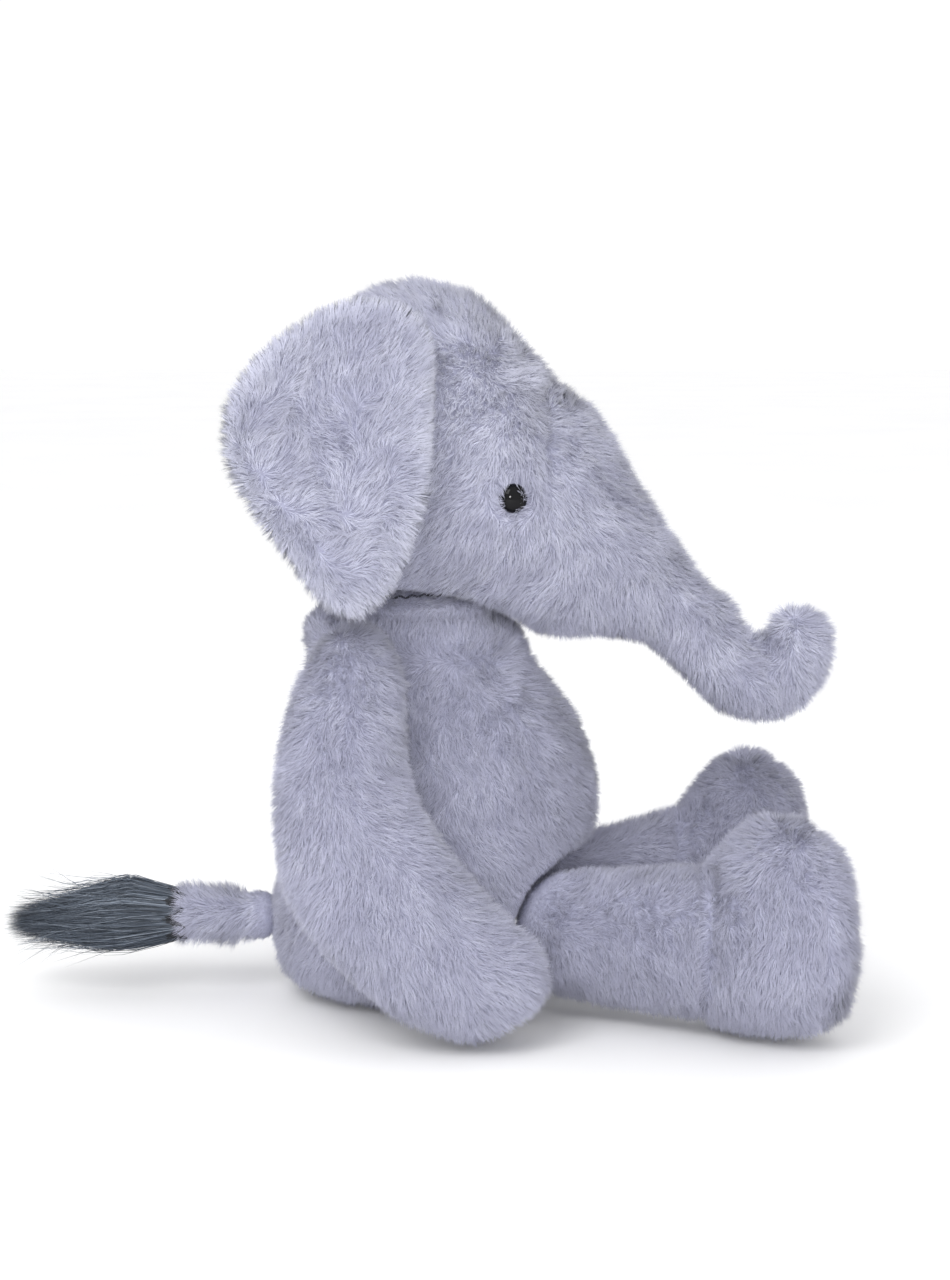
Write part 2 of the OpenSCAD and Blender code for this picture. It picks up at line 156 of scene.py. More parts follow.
def read_mesh(mesh):
    """Points, normals and triangles of a mesh as arrays."""
    mesh.calc_loop_triangles()
    points = np.empty(len(mesh.vertices) * 3)
    mesh.vertices.foreach_get("co", points)
    normals = np.empty(len(mesh.vertices) * 3)
    mesh.vertex_normals.foreach_get("vector", normals)
    triangles = np.empty(len(mesh.loop_triangles) * 3, dtype=int)
    mesh.loop_triangles.foreach_get("vertices", triangles)
    return points.reshape(-1, 3), normals.reshape(-1, 3), triangles.reshape(-1, 3)


def write_points(mesh, points):
    mesh.vertices.foreach_set("co", np.asarray(points, dtype=np.float32).ravel())
    mesh.update()


def smoothed(mesh, values, rounds, factor=0.5):
    """Values at the vertices, averaged over the neighbours some rounds."""
    edges = np.empty(len(mesh.edges) * 2, dtype=int)
    mesh.edges.foreach_get("vertices", edges)
    edges = edges.reshape(-1, 2)
    count = np.bincount(edges.ravel(), minlength=len(values))[:, None]
    for _ in range(rounds):
        total = np.zeros_like(values)
        np.add.at(total, edges[:, 0], values[edges[:, 1]])
        np.add.at(total, edges[:, 1], values[edges[:, 0]])
        values = values + factor * (total / np.maximum(count, 1) - values)
    return values


# ---------------------------------------------------------------- materials

def principled(name, colour, roughness, **more):
    """A material with constant values on its shader's own sockets."""
    material = bpy.data.materials.new(name)
    material.use_nodes = True
    shader = material.node_tree.nodes["Principled BSDF"]
    shader.inputs["Base Color"].default_value = (*colour, 1)
    shader.inputs["Roughness"].default_value = roughness
    for socket, value in more.items():
        shader.inputs[socket.replace("_", " ")].default_value = value
    material.diffuse_color = (*colour, 1)
    return material


def patterned(name, dark, light, roughness, scale, bump, **more):
    """A material whose colour and relief follow noise."""
    material = principled(name, light, roughness, **more)
    nodes, links = material.node_tree.nodes, material.node_tree.links
    shader = nodes["Principled BSDF"]
    place = nodes.new("ShaderNodeTexCoord")
    noise = nodes.new("ShaderNodeTexNoise")
    noise.inputs["Scale"].default_value = scale
    noise.inputs["Detail"].default_value = 6
    noise.inputs["Roughness"].default_value = 0.65
    ramp = nodes.new("ShaderNodeValToRGB")
    ramp.color_ramp.elements[0].position = 0.35
    ramp.color_ramp.elements[0].color = (*dark, 1)
    ramp.color_ramp.elements[1].position = 0.68
    ramp.color_ramp.elements[1].color = (*light, 1)
    relief = nodes.new("ShaderNodeBump")
    relief.inputs["Strength"].default_value = bump
    relief.inputs["Distance"].default_value = 0.5 * MM
    links.new(place.outputs["Object"], noise.inputs["Vector"])
    links.new(noise.outputs["Fac"], ramp.inputs["Fac"])
    links.new(ramp.outputs["Color"], shader.inputs["Base Color"])
    links.new(noise.outputs["Fac"], relief.inputs["Height"])
    links.new(relief.outputs["Normal"], shader.inputs["Normal"])
    return material


SHEEN = {"Sheen_Weight": 0.35, "Sheen_Roughness": 0.45, "Sheen_Tint": (0.92, 0.93, 1.0, 1)}
# The backing's colour is the fabric's, darkened below the pile's tones as painted shade of the pile's
# self-shadowing.
SKIN = patterned("plush_backing_with_painted_shade", (0.30, 0.305, 0.41), (0.41, 0.417, 0.535), 1.0, 900, 0.5)
PILE_TONES = [
    # The first two tones are painted shade, for the short layer among the roots.
    principled("pile_gap", (0.27, 0.275, 0.37), 1.0),
    principled("pile_under", (0.36, 0.366, 0.48), 1.0),
    principled("pile_deep", (0.47, 0.476, 0.61), 0.9, **SHEEN),
    principled("pile_shade", (0.52, 0.528, 0.665), 0.9, **SHEEN),
    principled("pile_middle", (0.57, 0.579, 0.715), 0.9, **SHEEN),
    principled("pile_light", (0.62, 0.63, 0.765), 0.9, **SHEEN),
    principled("pile_pale", (0.68, 0.69, 0.82), 0.9, **SHEEN),
]
TUFT_ROOT = principled("tuft_root", (0.012, 0.014, 0.02), 0.6)
TUFT_HAIRS = [
    principled("tuft_dark", (0.032, 0.042, 0.06), 0.5),
    principled("tuft_mid", (0.08, 0.102, 0.138), 0.48),
    principled("tuft_light", (0.21, 0.245, 0.3), 0.45),
]
THREAD = patterned("seam_thread", (0.012, 0.012, 0.02), (0.05, 0.05, 0.07), 0.7, 2500, 0.8)
EYE = patterned("eye_gloss", (0.002, 0.002, 0.003), (0.004, 0.004, 0.005), 0.05, 300, 0.0,
                Specular_IOR_Level=0.2)
WADDING = patterned("wadding", (0.6, 0.59, 0.56), (0.85, 0.84, 0.81), 1.0, 220, 1.0)


# ---------------------------------------------------------------- skins

def voxel_copy(name, nodes, balls=(), voxel=VOXEL, rounds=5):
    """One closed skin round several CAD solids; balls, as (centre, radius), bridge a joint's gap."""
    bm = bmesh.new()
    for node in nodes:
        bm.from_mesh(frame["nodes"][node].data)
    bmesh.ops.remove_doubles(bm, verts=bm.verts, dist=1e-7)
    for centre, radius in balls:
        made = bmesh.ops.create_icosphere(bm, subdivisions=3, radius=radius)
        bmesh.ops.translate(bm, verts=made["verts"], vec=Vector(centre))
    mesh = bpy.data.meshes.new(name)
    bm.to_mesh(mesh)
    bm.free()
    rough = new_object(name + "_rough", mesh)
    remesh = rough.modifiers.new("remesh", "REMESH")
    remesh.mode = "VOXEL"
    remesh.voxel_size = voxel
    final = bpy.data.meshes.new_from_object(rough.evaluated_get(bpy.context.evaluated_depsgraph_get()))
    bpy.data.objects.remove(rough)
    final.name = name
    final.materials.clear()
    points, _, _ = read_mesh(final)
    write_points(final, smoothed(final, points, rounds))
    return final


LUMPS = Field(11)
COMB = Field(12)
CLUMP = Field(13)
FINE = Field(14)


class Skin:
    """A fabric skin and what its pile needs to know at each vertex.

    outer is the CAD surface and points the backing, drawn in by depth. room is the distance to the nearest
    other body, faced the distance to one straight ahead. free is 0 where another body touches and 1 in the
    open, seen is low where another body covers the skin, and pale is 1 where the pile is painted palest, as
    a painted highlight on the ears' rims.
    """

    def __init__(self, name, body, mesh, nodes, seams, far_bodies, depth=PILE, lumps=0.9 * MM,
                 high_seams=False, kept=None):
        """high_seams fades the seams towards the chin. kept tells where the backing stays in place."""
        self.name, self.body, self.nodes, self.mesh = name, body, nodes, mesh
        self.outer, normals, _ = read_mesh(mesh)
        self.measure_seams(seams)
        if high_seams:
            chin, rise = 185 * MM, 60 * MM
            self.seam_strength *= np.clip((self.outer[:, 2] - chin) / rise, 0.15, 1)
        self.measure_room(far_bodies, normals)
        lump = LUMPS.at(self.outer, LUMP_SIZE)[:, 0] + 0.6 * LUMPS.at(self.outer, SMALL_LUMP_SIZE)[:, 1]
        groove = GROOVE_DEPTH * np.exp(-(self.seam_gap / GROOVE_WIDTH) ** 2) * self.seam_strength
        covered, uncovering = 2 * MM, 6 * MM
        self.seen = np.clip((self.faced - covered) / uncovering, 0.4, 1)
        free = np.minimum(self.seen, np.clip((self.room - TOUCHING) / CLEARING, 0, 1))
        self.free = smoothed(mesh, free[:, None], 3)[:, 0]
        self.pale = np.zeros(len(self.outer))
        sink = self.free.copy()
        if kept is not None:
            hold = kept(self.outer)
            sink *= 1 - hold
            self.free = np.maximum(self.free, 0.75 * hold * (self.seen > 0.6))
        shift = sink * (lumps * lump - depth - groove)
        points = self.outer + normals * shift[:, None]
        points = smoothed(mesh, points, 2)
        points[:, 2] = np.maximum(points[:, 2], SKIN_FLOOR)
        write_points(mesh, points)
        self.points, self.normals, self.triangles = read_mesh(mesh)

    def measure_seams(self, seams):
        """seams is a list of (strength, groups of nodes); a seam runs where two groups meet."""
        count = len(self.outer)
        self.seam_gap = np.full(count, 1.0)
        self.seam_away = np.zeros((count, 3))
        self.seam_strength = np.zeros(count)
        for strength, groups in seams:
            trees = [tree_of(group) for group in groups]
            for k, p in enumerate(self.outer):
                hits = [tree.find_nearest(p, SEAM_REACH) for tree in trees]
                found = sorted(((hit[3], hit[0]) for hit in hits if hit[0]), key=lambda pair: pair[0])
                if len(found) > 1 and found[1][0] < self.seam_gap[k]:
                    self.seam_gap[k] = found[1][0]
                    self.seam_away[k] = p - np.array(found[1][1])
                    self.seam_strength[k] = strength
        self.seam_away = unit(self.seam_away)

    def measure_room(self, far_bodies, normals):
        """Distance from each vertex to the nearest solid of another body, and to one straight ahead."""
        tree = tree_of([node for body in far_bodies for node in BODIES[body]])
        self.room = np.full(len(self.outer), BODY_REACH)
        self.faced = np.full(len(self.outer), BODY_REACH)
        for k, p in enumerate(self.outer):
            hit = tree.find_nearest(p, BODY_REACH)
            if hit[0]:
                self.room[k] = hit[3]
            ray = tree.ray_cast(p, normals[k], BODY_REACH)
            if ray[0]:
                self.faced[k] = ray[3]


def make_skin(skin, blend=None):
    """The visible piece for a skin."""
    mesh = skin.mesh
    mesh.materials.append(SKIN)
    mesh.polygons.foreach_set("use_smooth", [True] * len(mesh.polygons))
    piece = new_object(skin.name, mesh)
    place(piece, skin.body, blend)
    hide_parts(*skin.nodes)


def place(piece, body, blend):
    """Rides on a body, or with a blend stays where it is, its transform baked in; the blend's (other body,
    start, end) are not read here.
    """
    if blend:
        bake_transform(piece)
    else:
        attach(piece, body)


# ---------------------------------------------------------------- pile

def strand_piece(name, chain, radii, normals, roll, slots, materials):
    """Tapering three-sided strands. chain is a list of point arrays from root to tip, with one radius array
    for each but the tip, and slots has a material number for each stretch between them."""
    count = len(chain[0])
    levels = len(chain)
    sides = 3
    along = unit(chain[-1] - chain[0])
    across = unit(np.cross(along, normals + 0.01))
    up = np.cross(along, across)
    rows = []
    shade = []
    for points, radius in zip(chain[:-1], radii):
        for j in range(sides):
            a = roll + 2 * math.pi * j / sides
            radial = across * np.cos(a)[:, None] + up * np.sin(a)[:, None]
            rows.append(points + radial * radius[:, None])
            shade.append(unit(normals + 0.8 * radial))
    rows.append(chain[-1])
    shade.append(unit(normals + 0.2 * along))
    per = len(rows)
    points = np.stack(rows, axis=1).reshape(-1, 3)
    points[:, 2] = np.maximum(points[:, 2], FLOOR)
    base = (np.arange(count) * per)[:, None]
    parts, sizes, order = [], [], []
    for i in range(levels - 2):
        for j in range(sides):
            low, high = sides * i, sides * (i + 1)
            k = (j + 1) % sides
            parts.append(base + np.array([low + j, low + k, high + k, high + j]))
            sizes.append(4)
            order.append(i)
    last = sides * (levels - 2)
    for j in range(sides):
        parts.append(base + np.array([last + j, last + (j + 1) % sides, per - 1]))
        sizes.append(3)
        order.append(levels - 2)
    loops = np.concatenate(parts, axis=1)
    sizes = np.tile(sizes, count)
    mesh = bpy.data.meshes.new(name)
    mesh.vertices.add(len(points))
    mesh.vertices.foreach_set("co", points.astype(np.float32).ravel())
    mesh.loops.add(loops.size)
    mesh.loops.foreach_set("vertex_index", loops.ravel().astype(np.int32))
    mesh.polygons.add(len(sizes))
    starts = np.concatenate([[0], np.cumsum(sizes)[:-1]])
    mesh.polygons.foreach_set("loop_start", starts.astype(np.int32))
    mesh.polygons.foreach_set("material_index", slots[:, order].ravel().astype(np.int32))
    mesh.polygons.foreach_set("use_smooth", np.ones(len(sizes), dtype=bool))
    for material in materials:
        mesh.materials.append(material)
    mesh.update(calc_edges=True)
    mesh.normals_split_custom_set_from_vertices(np.stack(shade, axis=1).reshape(-1, 3))
    return new_object(name, mesh)


def sample_roots(skin, rng):
    """Random places on a skin, as (triangle corners, weights in them), denser where the pile is pale."""
    corners = skin.points[skin.triangles]
    area = np.linalg.norm(np.cross(corners[:, 1] - corners[:, 0], corners[:, 2] - corners[:, 0]), axis=1) / 2
    outer = skin.outer[skin.triangles]
    swell = np.linalg.norm(np.cross(outer[:, 1] - outer[:, 0], outer[:, 2] - outer[:, 0]), axis=1) / 2
    weight = np.maximum(area, swell) * (1 + 1.6 * skin.pale[skin.triangles].mean(axis=1))
    weight = weight * skin.seen[skin.triangles].mean(axis=1)
    count = int(weight.sum() * DENSITY)
    spots = (np.arange(count) + rng.random(count)) * weight.sum() / count
    face = np.searchsorted(np.cumsum(weight), spots)
    face = np.minimum(face, len(weight) - 1)
    a, b = rng.random(count), rng.random(count)
    over = a + b > 1
    a[over], b[over] = 1 - a[over], 1 - b[over]
    return skin.triangles[face], np.stack([1 - a - b, a, b], axis=1)


def mix(values, corners, weights):
    """Values of the vertices at places inside their triangles."""
    picked = values[corners]
    if picked.ndim == 2:
        return (picked * weights).sum(axis=1)
    return (picked * weights[:, :, None]).sum(axis=1)


def comb_of(points, normals, flow, swirl):
    """Direction the pile lies in: along flow, turned about by slow and quick random fields."""
    slow, quick = 34 * MM, 9 * MM
    lie = flow(points, normals) + swirl * COMB.at(points, slow) + 0.65 * COMB.at(points + 0.3, quick)
    lie = lie - normals * (lie * normals).sum(axis=1)[:, None]
    return unit(lie)


def grow_pile(skin, flow, length=STRAND_LENGTH, lean=LEAN, swirl=0.7, blend=None, avoid=None, tint=0.0,
              painted_light=None):
    """Covers a skin in pile, in pieces of at most MAX_STRANDS.

    flow(points, normals) gives the nap's direction, and swirl how far it wanders. avoid(roots, tips) tells
    which strands stay. A higher tint is paler, and the lower tints paint shade on the parts below the head;
    painted_light(points) adds painted light to it by place.
    """
    rng = np.random.default_rng(SEEDS[skin.body])
    corners, weights = sample_roots(skin, rng)
    root = mix(skin.points, corners, weights)
    normal = unit(mix(skin.normals, corners, weights))
    gap = mix(skin.seam_gap, corners, weights)
    away = mix(skin.seam_away, corners, weights)
    strength = mix(skin.seam_strength, corners, weights)
    free = mix(skin.free, corners, weights)
    count = len(root)
    # The nap parts along seams.
    lie = comb_of(root, normal, flow, swirl)
    parting = 3.2 * MM
    part = np.exp(-(gap / parting) ** 2)[:, None] * strength[:, None]
    lie = unit(lie * (1 - 0.6 * part) + away * 1.2 * part)
    # Neighbours share a length, lean and tone, in large and small bunches.
    clump = CLUMP.at(root, CLUMP_SIZE)
    fine = FINE.at(root, FINE_SIZE)
    bunch = CLUMP.at(root + 0.5, BUNCH_SIZE)
    size = length * (1 + 0.16 * rng.uniform(-1, 1, count) + 0.12 * clump[:, 0] + 0.08 * bunch[:, 1])
    shortest = 0.26
    size = size * (1 - 0.2 * part[:, 0]) * (shortest + (1 - shortest) * free)
    under = rng.random(count) < UNDER_SHARE
    size = np.where(under, UNDER_LENGTH * size, size)
    angle = np.radians(lean + 9 * bunch[:, 0] + 9 * rng.uniform(-1, 1, count) + 14 * part[:, 0])
    jitter = 0.46 * clump + 0.2 * fine + 0.12 * rng.uniform(-1, 1, (count, 3))
    aim = unit(normal * np.cos(angle)[:, None] + lie * np.sin(angle)[:, None] + jitter)
    start = root - normal * ROOT_DEPTH
    tip = start + aim * size[:, None]
    radius = STRAND_WIDTH / 2 * (1 + 0.25 * rng.uniform(-1, 1, count))
    # Tones: the first two, for the short layer, are painted shade among the roots; the others go from dark
    # to pale.
    tone = 0.5 * clump[:, 1] + 0.45 * bunch[:, 2] + 0.35 * rng.uniform(-1, 1, count)
    # Painted light: pale adds a painted highlight at the ears' rims, and tint a part's painted shade.
    tone = tone + 0.7 * mix(skin.pale, corners, weights) + tint
    # Painted shade: the pile darkens where another body touches or covers it.
    tone = tone - 3 * np.clip(0.5 - free, 0, 0.5)
    if painted_light is not None:
        tone = tone + painted_light(root)
    slot = 2 + np.digitize(tone, [-0.45, -0.15, 0.15, 0.45])
    slot = np.where(under, rng.integers(0, 2, count), slot)[:, None]
    shade = unit(normal + 0.45 * clump + 0.25 * fine - 0.25 * lie)
    roll = rng.uniform(0, 2 * math.pi, count)
    keep = np.ones(count, dtype=bool)
    if avoid is not None:
        keep = avoid(root, tip)
    # Pieces are cut along the body, so that each holds neighbours.
    order = np.nonzero(keep)[0]
    order = order[np.argsort(root[order, 0] + root[order, 2] * 0.2, kind="stable")]
    pieces = max(1, math.ceil(len(order) / MAX_STRANDS))
    base = skin.name.replace("_skin", "_pile")
    for k, chosen in enumerate(np.array_split(order, pieces)):
        name = base if pieces == 1 else f"{base}_{k + 1}"
        piece = strand_piece(name, [start[chosen], tip[chosen]], [radius[chosen]], shade[chosen],
                             roll[chosen], slot[chosen], PILE_TONES)
        place(piece, skin.body, blend)


def steady(direction):
    """The same flow everywhere."""
    direction = np.array(direction, dtype=float)
    return lambda points, normals: np.tile(direction, (len(points), 1))


# ---------------------------------------------------------------- the body parts

def build_torso():
    """The torso, whose nap turns upwards round the neck."""
    nodes = ["torso_panel_right", "torso_panel_left", "torso_filling"]
    mesh = voxel_copy("torso_skin", nodes)
    collar, shoulder = 144 * MM, 140 * MM
    skin = Skin("torso_skin", "torso", mesh, nodes,
                [(0.45, [["torso_panel_right"], ["torso_panel_left"]])],
                ["head", "neck", "arm_right", "arm_left", "leg_right", "leg_left", "tail"],
                kept=lambda points: np.clip((points[:, 2] - collar) / (10 * MM), 0, 1))
    make_skin(skin)

    def flow(points, normals):
        """Down, and up above the shoulders."""
        high = np.clip((points[:, 2] - shoulder) / (14 * MM), 0, 1)[:, None]
        return (1 - high) * np.array([0.25, 0, -1]) + high * np.array([0, 0, 0.8])

    # Painted shade: tint darkens the torso's pile, shaded under the head.
    grow_pile(skin, flow, tint=-0.6)
    closing_stitches(skin)


def closing_stitches(skin):
    """The stitches that close the back seam, drawn down into the pile."""
    tree = BVHTree.FromPolygons([tuple(p) for p in skin.points], [list(map(int, t)) for t in skin.triangles])
    solid, _ = world_mesh("closing_stitches")
    levels = np.unique(np.round(solid[:, 2], 3))
    heights = [group.mean() for group in np.split(levels, np.nonzero(np.diff(levels) > 3 * MM)[0] + 1)]
    behind = solid[:, 0].min() - 20 * MM
    half_width, rise, bow = 3.2 * MM, 0.8 * MM, 1.2 * MM
    base = bmesh.new()
    for k, height in enumerate(heights):
        slant = (-1) ** k * 1.2 * MM
        line = []
        for t in np.linspace(-1, 1, 9):
            aim = Vector((behind, half_width * t, height + slant * t))
            hit = tree.ray_cast(aim, Vector((1, 0, 0)))[0]
            line.append(np.array(hit) + np.array([-1, 0, 0]) * (rise + bow * (1 - t * t)))
        stitch = tube("stitch", line, 0.5 * MM)
        base.from_mesh(stitch.data)
        bpy.data.objects.remove(stitch)
    mesh = bpy.data.meshes.new("closing_thread")
    base.to_mesh(mesh)
    base.free()
    mesh.materials.append(THREAD)
    mesh.polygons.foreach_set("use_smooth", [True] * len(mesh.polygons))
    piece = new_object("closing_thread", mesh)
    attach(piece, "torso")
    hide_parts("closing_stitches")


def build_neck():
    """The rounded top of the body that the head turns on, and the crease's thread round it, which also
    paints the crease's shade as a dark line.
    """
    centre = np.array(JOINTS["head_nod"]["pos_m"])
    radius = 61 * MM
    rings = 16
    profile = []
    for k in range(rings + 1):
        a = math.radians(38 * (1 - k / rings))
        profile.append((max(0.05 * MM, radius * math.sin(a)), radius * math.cos(a)))
    piece = lathe("neck_skin", [(radius * 0.45, 30 * MM)] + profile, centre, (0, 0, 1), 96)
    piece.data.materials.append(SKIN)
    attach(piece, "neck")
    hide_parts("neck_filling")
    skin = Skin("neck_skin", "neck", piece.data, ["neck_filling"], [], ["head"], depth=0, lumps=0)
    aside = np.linalg.norm((skin.points - centre) * [1, 1, 0], axis=1)
    inner, outer = 20 * MM, 39 * MM
    skin.seen = np.clip((aside - inner) / (6 * MM), 0, 1) * np.clip((outer - aside) / (3 * MM), 0, 1)
    skin.free = np.full(len(aside), 0.55)

    def flow(points, normals):
        """Outwards all round."""
        return unit((points - centre) * [1, 1, 0]) + [0, 0, 0.2]

    # Painted shade: tint darkens the pile of the neck's cap under the head.
    grow_pile(skin, flow, lean=55, tint=-0.6)

    # The thread runs round the cap as a fine zigzag with a slower wave in it. It is the CAD's stitching, and
    # as a dark line in the crease it also stands in for the crease's shade.
    points = []
    stitches = 72
    steps = stitches * 6
    ring, lift = 28 * MM, 0.9 * MM
    for k in range(steps):
        turn = 2 * math.pi * k / steps
        wave = 0.5 * MM * math.sin(stitches * turn / 2) + 0.9 * MM * math.sin(5 * turn + 1) * 0.6
        flat = ring + 0.4 * MM * math.sin(stitches * turn / 2 + 1)
        height = math.sqrt((radius + lift) ** 2 - flat ** 2)
        points.append(centre + np.array([flat * math.cos(turn), flat * math.sin(turn), height + wave]))
    piece = tube("neck_thread_and_crease_shade", points, 0.42 * MM, closed=True)
    piece.data.materials.append(THREAD)
    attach(piece, "neck")
    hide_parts("neck_stitching")


def tube(name, points, radius, closed=False, sides=8):
    """A thread along points."""
    points = np.array(points)
    count = len(points)
    if closed:
        along = unit(np.roll(points, -1, axis=0) - np.roll(points, 1, axis=0))
    else:
        along = unit(np.gradient(points, axis=0))
    across = unit(np.cross(along, [0.1, 0.2, 1.0]))
    up = np.cross(along, across)
    verts = []
    for k in range(count):
        for j in range(sides):
            a = 2 * math.pi * j / sides
            verts.append(points[k] + radius * (across[k] * math.cos(a) + up[k] * math.sin(a)))
    faces = []
    for k in range(count if closed else count - 1):
        for j in range(sides):
            n, m = (k + 1) % count, (j + 1) % sides
            faces.append([k * sides + j, k * sides + m, n * sides + m, n * sides + j])
    if not closed:
        faces.append([j for j in reversed(range(sides))])
        faces.append([(count - 1) * sides + j for j in range(sides)])
    mesh = mesh_from(name, verts, faces)
    mesh.polygons.foreach_set("use_smooth", [True] * len(mesh.polygons))
    return new_object(name, mesh)


def bend_points():
    """The trunk joint's centre, and where the trunk's fabric is meant to start and stop bending between the
    head and the trunk's tip.
    """
    centre = np.array(JOINTS["trunk_bend"]["pos_m"])
    down = unit([0.65, 0, -0.76])
    half = 13 * MM
    return centre, tuple(centre - down * half), tuple(centre + down * half)


def near_neck(points):
    """1 on the underside of the head round the neck, fading to 0."""
    centre = np.array(JOINTS["head_nod"]["pos_m"])
    aside = np.linalg.norm((points - centre) * [1, 1, 0], axis=1)
    chin, fade = 180 * MM, 12 * MM
    width, side_fade = 78 * MM, 16 * MM
    return np.clip((chin - points[:, 2]) / fade, 0, 1) * np.clip((width - aside) / side_fade, 0, 1)


def build_head():
    """Head, trunk and trunk tip in one skin, across the trunk's joint."""
    nodes = []
    for stem in ("head_back_panel", "head_front_panel", "trunk_panel", "trunk_tip_panel"):
        nodes += [f"{stem}_right", f"{stem}_left"]
    nodes += ["head_filling", "trunk_filling", "trunk_tip_filling"]
    centre, start, end = bend_points()
    mesh = voxel_copy("head_skin", nodes, balls=[(centre, 19.8 * MM)])
    right = [n for n in nodes if n.endswith("right")]
    left = [n for n in nodes if n.endswith("left")]
    back, front, trunk = nodes[0:2], nodes[2:4], nodes[4:8]
    skin = Skin("head_skin", "head", mesh, nodes,
                [(0.8, [back, front]), (0.9, [front, trunk]), (0.3, [right, left])],
                ["torso", "neck", "ear_right", "ear_left"], high_seams=True,
                kept=near_neck)
    blend = ("trunk_tip", start, end)
    make_skin(skin, blend=blend)
    eyes = [np.array(eye_frame(side)[0]) for side in ("right", "left")]
    # Centre of the painted light on the brow.
    brow = np.array([36 * MM, 0, 257 * MM])

    def clear_of_eyes(root, tip):
        """Keeps roots and tips out of a tall oval over each eye."""
        root_oval = [3.6 * MM, 1, 5.4 * MM]
        tip_oval = [3.0 * MM, 1, 5.2 * MM]
        keep = np.ones(len(root), dtype=bool)
        for eye in eyes:
            near = np.abs(root[:, 1] - eye[1]) < 20 * MM
            inner = np.linalg.norm((root - eye) / root_oval * [1, 0, 1], axis=1) < 1
            over = np.linalg.norm((tip - eye) / tip_oval * [1, 0, 1], axis=1) < 1
            keep &= ~(near & (inner | over))
        return keep

    def flow(points, normals):
        """Backwards and down on the head, down on the trunk, and in over the eyes' edges."""
        ahead = np.clip((points[:, 0] - 10 * MM) / (80 * MM), 0, 1)[:, None]
        lie = (1 - ahead) * np.array([-0.8, 0, -0.7]) + ahead * np.array([0.2, 0, -1.0])
        for eye in eyes:
            inward = (eye - points) * [1, 0.2, 1]
            near = np.linalg.norm(eye - points, axis=1)
            pull = np.exp(-(near / (9 * MM)) ** 4)[:, None]
            lie = lie * (1 - pull) + 3 * unit(inward) * pull
        return lie

    def painted_light(points):
        """Painted light: paler pile on the brow."""
        away = np.linalg.norm((points - brow) * [1, 0, 1], axis=1)
        return 0.9 * np.exp(-(away / (30 * MM)) ** 2)

    grow_pile(skin, flow, blend=blend, avoid=clear_of_eyes, swirl=0.4, tint=-0.05, painted_light=painted_light)


def ear_sheet(side):
    """The surface between the ear's two panels."""
    outer, triangles = world_mesh(f"ear_outer_panel_{side}")
    inner, _ = world_mesh(f"ear_inner_panel_{side}")
    shared = {tuple(p) for p in np.round(inner, 5)}
    middle = np.array([tuple(p) in shared for p in np.round(outer, 5)])
    faces = [t for t in triangles if middle[t].all()]
    mesh = mesh_from(f"ear_skin_{side}", outer, faces)
    bm = bmesh.new()
    bm.from_mesh(mesh)
    bmesh.ops.remove_doubles(bm, verts=bm.verts, dist=1e-5)
    bmesh.ops.delete(bm, geom=[v for v in bm.verts if not v.link_faces], context="VERTS")
    bmesh.ops.dissolve_limit(bm, angle_limit=0.001, verts=bm.verts, edges=bm.edges)
    bmesh.ops.triangulate(bm, faces=bm.faces)
    bm.to_mesh(mesh)
    bm.free()
    return mesh


